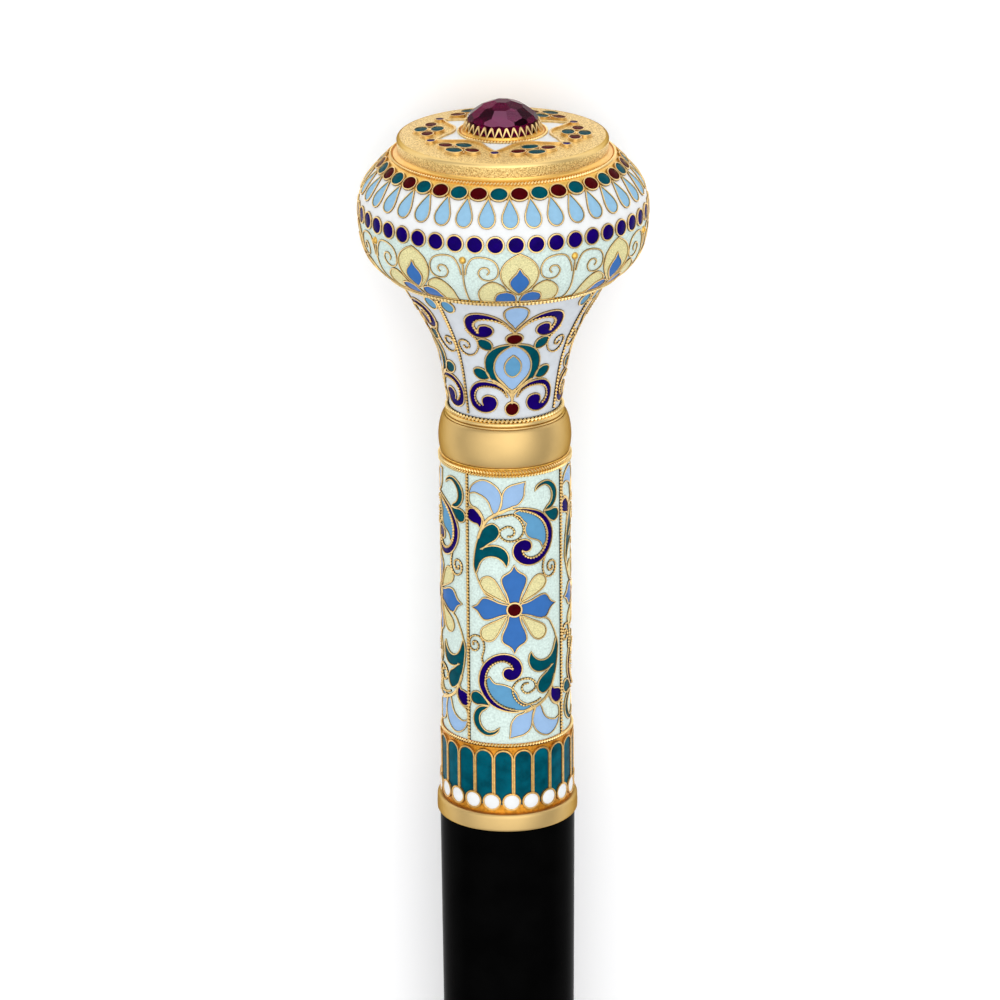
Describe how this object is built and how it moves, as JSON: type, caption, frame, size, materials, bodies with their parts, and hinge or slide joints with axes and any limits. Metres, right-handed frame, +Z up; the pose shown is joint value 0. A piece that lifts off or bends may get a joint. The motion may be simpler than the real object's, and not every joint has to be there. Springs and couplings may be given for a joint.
{
  "type": "dress sceptre staff",
  "caption": "Dress staff lying on its side: a squat enamelled knob with a stone on top, flared neck, gilt collar, patterned sleeve and a tapered black shaft with a ferrule.",
  "frame": {"origin": "centre of the bounding box at ground level, under the lying staff", "axes": "+Y runs along the staff to its head, tipped up about one degree; +Z is up"},
  "size_m": [0.0448, 0.915, 0.0445],
  "materials": {
    "gilt": "polished",
    "stippled_gilt": "satin",
    "black_lacquer": "gloss",
    "purple_stone": "polished",
    "mint_enamel": "gloss",
    "white_enamel": "gloss",
    "teal_enamel": "gloss",
    "cobalt_enamel": "gloss",
    "red_enamel": "gloss",
    "light_blue_enamel": "gloss",
    "cornflower_enamel": "gloss",
    "yellow_enamel": "gloss"
  },
  "bodies": {
    "root": {"ferrule": "gilt", "shaft": "black_lacquer", "band": "gilt", "arcade_ring": "gilt", "sleeve_lower_rope": "gilt", "sleeve": "mint_enamel", "sleeve_upper_rope": "gilt", "sleeve_wire": "gilt", "collar": "gilt", "neck_ring": "gilt", "neck_lower_rope": "gilt", "neck": "white_enamel", "neck_upper_rope": "gilt", "knob_lower_rope": "gilt", "knob": "white_enamel", "disc_rope": "gilt", "top_disc": "stippled_gilt", "bezel_rope": "gilt", "bezel": "gilt", "stone": "purple_stone", "quatrefoil_1": "gilt", "stud_1": "gilt", "quatrefoil_2": "gilt", "stud_2": "gilt", "quatrefoil_3": "gilt", "stud_3": "gilt", "quatrefoil_4": "gilt", "stud_4": "gilt", "quatrefoil_5": "gilt", "stud_5": "gilt", "quatrefoil_6": "gilt", "stud_6": "gilt"}
  },
  "joints": []
}
